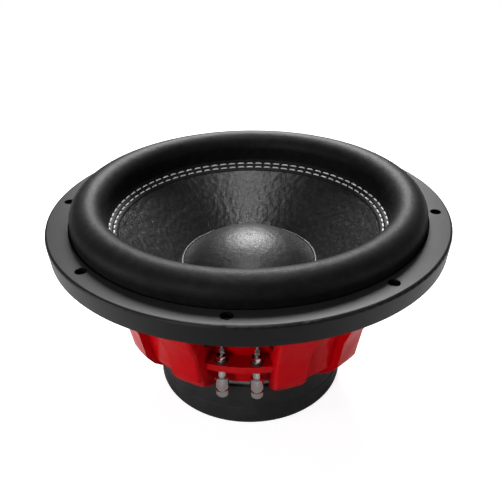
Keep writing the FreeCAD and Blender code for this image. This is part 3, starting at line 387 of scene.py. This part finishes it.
def turnOutward(piece):
    chooseOnly(piece)
    editMode()
    bpy.ops.mesh.select_all(action="SELECT")
    bpy.ops.mesh.normals_make_consistent(inside=False)
    editMode(False)


def applyModifier(piece, kind, **settings):
    chooseOnly(piece)
    modifier = piece.modifiers.new(kind.title(), kind)
    for key, value in settings.items():
        setattr(modifier, key, value)
    bpy.ops.object.modifier_apply(modifier=modifier.name)


def smooth(piece, degrees):
    chooseOnly(piece)
    bpy.ops.object.shade_smooth_by_angle(angle=math.radians(degrees))


def shape(piece, move):
    # Moves every vertex by a rule of its place.
    for vertex in piece.data.vertices:
        vertex.co = move(vertex.co)
    piece.data.update()


def dress(piece, finishName):
    piece.data.materials.clear()
    piece.data.materials.append(materials[finishName])


def blendRound(piece, outerRadius, innerRadius):
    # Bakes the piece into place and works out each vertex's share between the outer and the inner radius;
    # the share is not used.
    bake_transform(piece)
    for vertex in piece.data.vertices:
        share = (outerRadius - math.hypot(vertex.co.x, vertex.co.y)) / (outerRadius - innerRadius)
        share = min(1.0, max(0.0, share))


# the leather grain embossed in the cone and the dust cap
hide = {"sharpness": 2.2, "pulpShare": 0.5, "grainShift": 1.7}
cone = {"wall": 0.0014, "segments": 420, "rings": 62, "hideDepth": 0.00028, "hideScale": 190.0,
        "pulpDepth": 0.00012, "pulpScale": 620.0}
coneLean = 1.0
for _ in range(4):  # the wall stands square to the slope, so the slope is found by repeating
    neckZ = coneFoot.z + cone["wall"] * coneLean
    coneSlope = (coneEdge.z - neckZ) / (coneEdge.x - neckRadius)
    coneLean = math.hypot(1, coneSlope)


def onCone(radius):
    return neckZ + (radius - neckRadius) * coneSlope


def pressedHide(place, values):
    # Depth of the leathery creases pressed into the paper, from 0 down.
    coarse = abs(noise.noise(place * values["hideScale"]))
    fine = abs(noise.noise(place * values["pulpScale"]))
    creases = min(1.0, hide["sharpness"] * (coarse + hide["pulpShare"] * fine))
    pulp = min(0.0, noise.noise(place * values["pulpScale"] * hide["grainShift"]))
    return -values["hideDepth"] * (1 - creases) + values["pulpDepth"] * pulp


def makeCone():
    deselect()
    rise = coneEdge.z - neckZ
    bpy.ops.mesh.primitive_cone_add(vertices=cone["segments"], radius1=neckRadius, radius2=coneEdge.x,
                                    depth=rise, end_fill_type="NOTHING",
                                    location=(0, 0, (coneEdge.z + neckZ) / 2))
    piece = nameObject("cone_body")
    bpy.ops.object.transform_apply(location=True)
    editMode()
    pickEdges(piece, lambda a, b: abs(a.z - b.z) > rise / 2)
    bpy.ops.mesh.subdivide(number_cuts=cone["rings"])
    bpy.ops.mesh.select_all(action="SELECT")
    bpy.ops.mesh.normals_make_consistent(inside=True)
    editMode(False)

    def press(place):
        radius = math.hypot(place.x, place.y)
        inward = Vector((-coneSlope * place.x / radius, -coneSlope * place.y / radius, 1)) / coneLean
        return place + inward * pressedHide(place, cone)

    shape(piece, press)
    applyModifier(piece, "SOLIDIFY", thickness=cone["wall"] - cone["hideDepth"], offset=-1)
    smooth(piece, 50)
    dress(piece, "conePaper")
    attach(piece, "cone_assembly")
    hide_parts("cone")


cap = {"wall": 0.0009, "segments": 200, "rings": 54, "crownAngle": 89.4, "crownHole": 0.004,
       "hideDepth": 0.00012, "hideScale": 230.0, "pulpDepth": 0.00008, "pulpScale": 700.0}


def makeCap():
    rise = capTop - capFoot
    ballRadius = (capEdge ** 2 + rise ** 2) / (2 * rise)
    middle = (0.0, capTop - ballRadius)
    low = math.degrees(math.atan2(capFoot - middle[1], capEdge))
    dome = arcPoints(middle, ballRadius, low, cap["crownAngle"], cap["rings"])
    piece = turnedShell("dust_cap_dome", dome, cap["segments"], closed=False)
    editMode()
    pickEdges(piece, lambda a, b: a.xy.length < cap["crownHole"] and b.xy.length < cap["crownHole"])
    bpy.ops.mesh.edge_face_add()
    bpy.ops.mesh.poke()
    bpy.ops.mesh.select_all(action="SELECT")
    bpy.ops.mesh.normals_make_consistent(inside=False)
    editMode(False)
    shape(piece, lambda place: place + Vector((0, 0, pressedHide(place, cap))))
    applyModifier(piece, "SOLIDIFY", thickness=cap["wall"] - cap["hideDepth"], offset=-1)
    smooth(piece, 50)
    dress(piece, "capPaper")
    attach(piece, "cone_assembly")
    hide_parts("dust_cap")


bead = {"radius": 0.0014, "segments": 220, "sides": 10, "lift": 0.0004, "waver": 0.00035,
        "waverScale": 90}


def makeCapBead():
    # Bead of black adhesive that fills the corner round the cap.
    deselect()
    corner = Vector((0, 0, onCone(capEdge) + bead["lift"]))
    bpy.ops.mesh.primitive_torus_add(major_radius=capEdge, minor_radius=bead["radius"],
                                     major_segments=bead["segments"], minor_segments=bead["sides"],
                                     location=corner)
    piece = nameObject("dust_cap_bead")
    bpy.ops.object.transform_apply(location=True)

    def waver(place):
        spread = 1 + bead["waver"] / bead["radius"] * noise.noise(place * bead["waverScale"])
        centre = Vector((place.x, place.y, 0)).normalized() * capEdge + corner
        return centre + (place - centre) * spread

    shape(piece, waver)
    smooth(piece, 60)
    dress(piece, "glueBlack")
    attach(piece, "cone_assembly")


roll = {"wall": 0.0022, "lipWall": 0.0012, "radius": 0.0136, "outerLip": 0.0024, "innerLip": 0.0081,
        "segments": 328, "crown": 44, "insideSteps": 24, "lipSteps": 20, "foot": 0.0011,
        "bend": 0.0018, "bendLift": 1.5, "bendPast": 8, "straight": 0.003, "insideFoot": 0.002,
        "rimDrop": 0.0080, "rubbedEdge": 0.0009, "glue": 0.0001, "clamped": 0.001}
stitching = {"count": 82, "rowInset": 0.0018, "rowPitch": 0.0035, "threadRadius": 0.00062,
             "length": 0.0068, "sides": 8, "cuts": 6, "taper": 0.45, "dive": 0.0011, "seat": 0.75,
             "crook": 0.02, "crookSteps": (900, 0.73), "puff": 0.0004, "pull": 0.0006,
             "grooveWidth": 0.0009, "grooveShare": 0.45, "skin": 0.0006, "skinEdge": 0.0002}
rollOuter = surroundTop.x - roll["outerLip"]
rollCentre = rollOuter - roll["radius"]
rollInner = rollCentre - roll["radius"]
lipInner = rollInner - roll["innerLip"]
springZ = surroundTop.z - roll["radius"]
flangeTop = trimTop.z - roll["rimDrop"]
stitchRows = [rollInner - stitching["rowInset"],
              rollInner - stitching["rowInset"] - stitching["rowPitch"]]


def onLip(radius):
    return onCone(radius) + roll["lipWall"] * coneLean


def lipRelief(radius, azimuth):
    # How far the sewn lip swells between the rows and is pulled down at the thread holes.
    across = (radius - lipInner) / (rollInner - lipInner)
    swell = stitching["puff"] * math.sin(math.pi * min(1.0, max(0.0, across))) ** 0.5
    hole = 0.5 + 0.5 * math.cos(azimuth * stitching["count"])
    dip = 0.0
    for row in stitchRows:
        near = math.exp(-((radius - row) / stitching["grooveWidth"]) ** 2)
        grip = stitching["grooveShare"] + (1 - stitching["grooveShare"]) * hole ** 4
        dip += near * grip * stitching["pull"]
    return swell - dip


def surroundOutline():
    # Over the outer lip, the roll and the sewn lip, then back underneath.
    glue, foot, bend = roll["glue"], roll["foot"], roll["bend"]
    lipTop = flangeTop + roll["wall"]
    outline = [(surroundTop.x, flangeTop + 2 * glue), (surroundTop.x, lipTop), (rollOuter + foot, lipTop)]
    outline += arcPoints((rollOuter + foot, lipTop + foot), foot, 270, 180, 4)[1:]
    outline += arcPoints((rollCentre, springZ), roll["radius"], 0, 180, roll["crown"])
    outline += [(rollInner, springZ - roll["straight"]), (rollInner, springZ - 2 * roll["straight"])]
    slopeAngle = math.degrees(math.atan(coneSlope))
    outline += arcPoints((rollInner - bend, onLip(rollInner) + bend * roll["bendLift"]), bend,
                         0, -90 + slopeAngle + roll["bendPast"], 5)
    first = outline[-1][0]
    for step in range(1, roll["lipSteps"] + 1):
        radius = first + (lipInner - first) * step / roll["lipSteps"]
        outline.append((radius, onLip(radius)))
    outline += [(lipInner - 2 * glue, onCone(lipInner) + roll["rubbedEdge"]),
                (lipInner, onCone(lipInner) + glue),
                (rollInner + roll["wall"], onCone(rollInner + roll["wall"]) + glue),
                (rollInner + roll["wall"], springZ - roll["insideFoot"])]
    outline += arcPoints((rollCentre, springZ), roll["radius"] - roll["wall"], 180, 0, roll["insideSteps"])
    outline.append((rollOuter - roll["wall"], flangeTop + 2 * glue))
    return outline


def makeSurround():
    piece = turnedShell("surround_roll", surroundOutline(), roll["segments"])

    def sew(place):
        radius = math.hypot(place.x, place.y)
        if place.z <= onLip(radius) - stitching["skin"] or radius >= rollInner - stitching["skinEdge"]:
            return place
        lift = lipRelief(radius, math.atan2(place.y, place.x))
        out = Vector((place.x, place.y, 0)) / radius
        return place + (Vector((0, 0, 1)) - out * coneSlope) / coneLean * lift

    shape(piece, sew)
    smooth(piece, 50)
    dress(piece, "rollRubber")
    blendRound(piece, rollOuter - roll["clamped"], rollInner)
    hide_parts("surround")


def makeStitch():
    # One stitch lying along Y at the origin: a fat thread whose ends dive into their holes.
    deselect()
    bpy.ops.mesh.primitive_cylinder_add(vertices=stitching["sides"], radius=stitching["threadRadius"],
                                        depth=stitching["length"], end_fill_type="NGON",
                                        rotation=(math.pi / 2, 0, 0))
    piece = nameObject("stitch")
    bpy.ops.object.transform_apply(rotation=True)
    editMode()
    pickEdges(piece, lambda a, b: abs(a.y - b.y) > stitching["length"] / 2)
    bpy.ops.mesh.subdivide(number_cuts=stitching["cuts"])
    editMode(False)

    def arch(place):
        along = 2 * place.y / stitching["length"]
        slim = 1 - stitching["taper"] * abs(along) ** 5
        return Vector((place.x * slim, place.y, place.z * slim - stitching["dive"] * abs(along) ** 4))

    shape(piece, arch)
    return piece


def makeStitches():
    pattern = makeStitch()
    copies = []
    for row in stitchRows:
        height = onLip(row) + lipRelief(row, math.pi / stitching["count"]) * coneLean
        seat = Matrix.Translation((row, 0, height + stitching["threadRadius"] * stitching["seat"]))
        for step in range(stitching["count"]):
            azimuth = 2 * math.pi * (step + 0.5) / stitching["count"]
            copy = pattern.copy()
            copy.data = pattern.data.copy()
            bpy.context.scene.collection.objects.link(copy)
            rowStep, stitchStep = stitching["crookSteps"]
            jitter = stitching["crook"] * noise.noise(Vector((row * rowStep, step * stitchStep, 0)))
            copy.matrix_world = (Matrix.Rotation(azimuth, 4, "Z") @ seat
                                 @ Matrix.Rotation(-math.atan(coneSlope), 4, "Y")
                                 @ Matrix.Rotation(jitter, 4, "X"))
            copies.append(copy)
    bpy.data.objects.remove(pattern)
    chooseOnly(*copies)
    bpy.ops.object.join()
    piece = nameObject("surround_stitches")
    bpy.ops.object.transform_apply()
    smooth(piece, 70)
    dress(piece, "sewingThread")
    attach(piece, "cone_assembly")
    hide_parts("surround_thread")


spiderCloth = {"wall": 0.0008, "halfWave": 0.005, "swing": 0.0024, "rimFlat": 0.013, "innerFlat": 0.003,
               "fade": 0.004, "segments": 220, "stepsPerWave": 9, "landing": 0.071}


def makeSpider():
    low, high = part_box("spider")
    landing = (low.z + high.z) / 2
    rim = high.x
    flat = rim - spiderCloth["rimFlat"]
    waves = int((flat - neckRadius - spiderCloth["innerFlat"]) // spiderCloth["halfWave"])
    outline = [(rim, landing), (flat + spiderCloth["fade"], landing)]
    steps = waves * spiderCloth["stepsPerWave"]
    for step in range(steps + 1):
        turn = math.pi * waves * step / steps
        radius = flat - spiderCloth["halfWave"] * waves * step / steps
        outline.append((radius, landing + spiderCloth["swing"] * math.sin(turn)))
    outline.append((neckRadius, landing))
    piece = turnedShell("spider_disc", outline, spiderCloth["segments"], closed=False)
    applyModifier(piece, "SOLIDIFY", thickness=spiderCloth["wall"], offset=0)
    turnOutward(piece)
    smooth(piece, 50)
    dress(piece, "spiderCloth")
    blendRound(piece, spiderCloth["landing"], neckRadius)
    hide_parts("spider")


def straightStrand(name, radius, sides, cuts):
    # A closed round bar from z = 0 to 1, cut across so that it can be bent.
    deselect()
    bpy.ops.mesh.primitive_cylinder_add(vertices=sides, radius=radius, depth=1, location=(0, 0, 0.5))
    piece = nameObject(name)
    bpy.ops.object.transform_apply(location=True)
    editMode()
    pickEdges(piece, lambda a, b: abs(a.z - b.z) > 0.5)
    bpy.ops.mesh.subdivide(number_cuts=cuts)
    editMode(False)
    return piece


def followRoute(corners, share):
    # Place on a smooth curve that starts at the first corner and ends at the last.
    padded = [corners[0]] * 2 + corners + [corners[-1]] * 2
    spans = len(padded) - 3
    whole = min(spans - 1, int(share * spans))
    step = share * spans - whole
    a, b, c, d = padded[whole:whole + 4]
    return (a * (1 - step) ** 3 + b * (3 * step ** 3 - 6 * step ** 2 + 4)
            + c * (-3 * step ** 3 + 3 * step ** 2 + 3 * step + 1) + d * step ** 3) / 6


lead = {"strands": 3, "strand": 0.00052, "offset": 0.00047, "twists": 11, "sides": 8, "cuts": 150,
        "glance": 0.01,
        "corners": [(0.01335, -0.0873, 0.0845), (0.01335, -0.0873, 0.0926), (0.01255, -0.0805, 0.0993),
                    (0.01115, -0.0709, 0.1006), (0.01015, -0.0627, 0.1038), (0.00955, -0.0600, 0.1113)]}


def makeLead(side, mirror):
    corners = [Vector((mirror * x, y, z)) for x, y, z in lead["corners"]]

    def bend(place, phase):
        share = min(1.0, max(0.0, place.z))
        centre = followRoute(corners, share)
        before = followRoute(corners, max(0.0, share - lead["glance"]))
        ahead = (followRoute(corners, min(1.0, share + lead["glance"])) - before).normalized()
        across = ahead.cross(Vector((1, 0, 0))).normalized()
        beside = across.cross(ahead)
        turn = phase + 2 * math.pi * lead["twists"] * share
        return (centre + beside * (lead["offset"] * math.cos(turn) + place.x)
                + across * (lead["offset"] * math.sin(turn) + place.y))

    strands = []
    for count in range(lead["strands"]):
        phase = 2 * math.pi * count / lead["strands"]
        strand = straightStrand("strand", lead["strand"], lead["sides"], lead["cuts"])
        shape(strand, lambda place: bend(place, phase))
        strands.append(strand)
    chooseOnly(*strands)
    bpy.ops.object.join()
    piece = nameObject("lead_braid_" + side)
    turnOutward(piece)
    smooth(piece, 60)
    dress(piece, "tinsel")
    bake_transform(piece)
    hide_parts("lead_" + side)


spring = {"wire": 0.00035, "turns": 5, "sides": 8, "cuts": 150}


def makeSpring(side):
    low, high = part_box("button_spring_" + side)
    axis = (low + high) / 2
    coil = (high.x - low.x) / 2 - spring["wire"]
    foot, rise = low.z + spring["wire"], high.z - low.z - 2 * spring["wire"]

    def wind(place):
        share = min(1.0, max(0.0, place.z))
        turn = 2 * math.pi * spring["turns"] * share
        out = Vector((math.cos(turn), math.sin(turn), 0))
        centre = Vector((axis.x, axis.y, foot + rise * share)) + out * coil
        return centre + out * place.x + Vector((0, 0, place.y))

    piece = straightStrand("spring_coil_" + side, spring["wire"], spring["sides"], spring["cuts"])
    shape(piece, wind)
    turnOutward(piece)
    smooth(piece, 60)
    dress(piece, "springSteel")
    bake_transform(piece)
    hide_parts("button_spring_" + side)


casting = {"edge": 0.0009, "steps": 3, "sharp": 28, "weld": 2e-6, "flat": 0.5, "smooth": 38,
           "faceWeight": 90}


def makeBasket():
    # The frame's own basket mesh, its corners softened as a painted casting's are.
    piece = nodes["basket"].copy()
    piece.data = nodes["basket"].data.copy()
    bpy.context.scene.collection.objects.link(piece)
    piece.name = piece.data.name = "basket_casting"
    chooseOnly(piece)
    editMode()
    bpy.ops.mesh.select_all(action="SELECT")
    bpy.ops.mesh.remove_doubles(threshold=casting["weld"])
    bpy.ops.mesh.normals_make_consistent(inside=False)
    bpy.ops.mesh.dissolve_limited(angle_limit=math.radians(casting["flat"]))
    editMode(False)
    applyModifier(piece, "BEVEL", width=casting["edge"], segments=casting["steps"], limit_method="ANGLE",
                  angle_limit=math.radians(casting["sharp"]), harden_normals=False)
    editMode()
    bpy.ops.mesh.select_all(action="SELECT")
    bpy.ops.mesh.remove_doubles(threshold=casting["weld"])
    bpy.ops.mesh.quads_convert_to_tris()
    editMode(False)
    smooth(piece, casting["smooth"])
    applyModifier(piece, "WEIGHTED_NORMAL", keep_sharp=True, weight=casting["faceWeight"])
    dress(piece, "redPaint")
    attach(piece, "frame")
    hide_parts("basket")


studio = {"floorSize": 3.6, "floorTone": 0.52, "floorGlow": 0.84, "floorRoughness": 0.9,
          "mottleScale": 3.0, "mottle": 1.05, "worldLight": 0.14}
lamps = {  # place, aim, size, watts
    "overhead": ((0.0, -0.05, 1.7), (0, 0, 0.12), 0.3, 19),
    "back": ((-0.10, 1.75, 1.55), (0, 0, 0.12), 1.0, 112),
    "front": ((-0.8, -1.6, 0.7), (0, 0, 0.05), 0.5, 13),
    "left": ((-1.4, -0.5, 0.25), (0, 0, 0.06), 0.4, 6),
    "right": ((1.4, -0.5, 0.2), (0, 0, 0.06), 0.25, 2),
}


def makeFloor():
    deselect()
    bpy.ops.mesh.primitive_plane_add(size=studio["floorSize"], location=(0, 0, 0))
    floor = bpy.context.object
    floor.name = "floor"
    material, tree, shader = startMaterial("paleFloor", {"specular": 0.0})
    dark, light = studio["floorTone"], studio["floorTone"] * studio["mottle"]
    tint(tree, shader, speckle(tree, studio["mottleScale"]), (dark,) * 3, (light,) * 3)
    direct = addNode(tree, "ShaderNodeLightPath").outputs["Is Camera Ray"]
    glow = addNode(tree, "ShaderNodeMath", {0: direct, 1: studio["floorGlow"]}, operation="MULTIPLY")
    shader.inputs["Emission Color"].default_value = (1, 1, 1, 1)
    tree.links.new(glow.outputs[0], shader.inputs["Emission Strength"])
    shader.inputs["Roughness"].default_value = studio["floorRoughness"]
    floor.data.materials.append(material)


def makeLamps():
    for name, (place, aim, size, watts) in lamps.items():
        lamp = bpy.data.lights.new(name, "AREA")
        lamp.shape = "DISK"
        lamp.size = size
        lamp.energy = watts
        holder = bpy.data.objects.new(name, lamp)
        bpy.context.scene.collection.objects.link(holder)
        holder.location = place
        holder.rotation_euler = (Vector(aim) - Vector(place)).to_track_quat("-Z", "Y").to_euler()


def makeWorld():
    # The camera sees the world white, and the object is lit by it only a little.
    world = bpy.data.worlds.new("paleRoom")
    world.use_nodes = True
    tree = world.node_tree
    seen = addNode(tree, "ShaderNodeLightPath").outputs["Is Camera Ray"]
    strength = addNode(tree, "ShaderNodeMapRange",
                       {"Value": seen, "To Min": studio["worldLight"], "To Max": 1.0})
    tree.links.new(strength.outputs["Result"], tree.nodes["Background"].inputs["Strength"])
    tree.nodes["Background"].inputs["Color"].default_value = (1, 1, 1, 1)
    bpy.context.scene.world = world
    bpy.context.scene.view_settings.view_transform = "Standard"


view = {"place": (0.2716, -2.8572, 1.4287), "ahead": (-0.0800, 0.8588, -0.5061), "roll": -0.807,
        "sensor": 36.0, "lens": 45.4, "near": 0.01, "far": 20}


def makeCamera():
    place = Vector((0, 0, trimTop.z)) + Vector(view["place"]) * trimTop.x
    camera = bpy.data.cameras.new("camera")
    camera.sensor_width, camera.lens = view["sensor"], view["lens"]
    camera.clip_start, camera.clip_end = view["near"], view["far"]
    holder = bpy.data.objects.new("camera", camera)
    bpy.context.scene.collection.objects.link(holder)
    level = Vector(view["ahead"]).to_track_quat("-Z", "Y").to_matrix().to_4x4()
    lean = Matrix.Rotation(math.radians(view["roll"]), 4, "Z")
    holder.matrix_world = Matrix.Translation(place) @ level @ lean
    bpy.context.scene.camera = holder


makeCone()
makeCap()
makeCapBead()
print("cone and cap pressed")
makeSurround()
makeStitches()
print("surround sewn")
makeSpider()
makeLead("left", -1)
makeLead("right", 1)
makeSpring("left")
makeSpring("right")
print("spider, leads and springs placed")
makeBasket()
print("basket softened")

makeFloor()
makeLamps()
makeWorld()
makeCamera()
print("studio and camera placed")
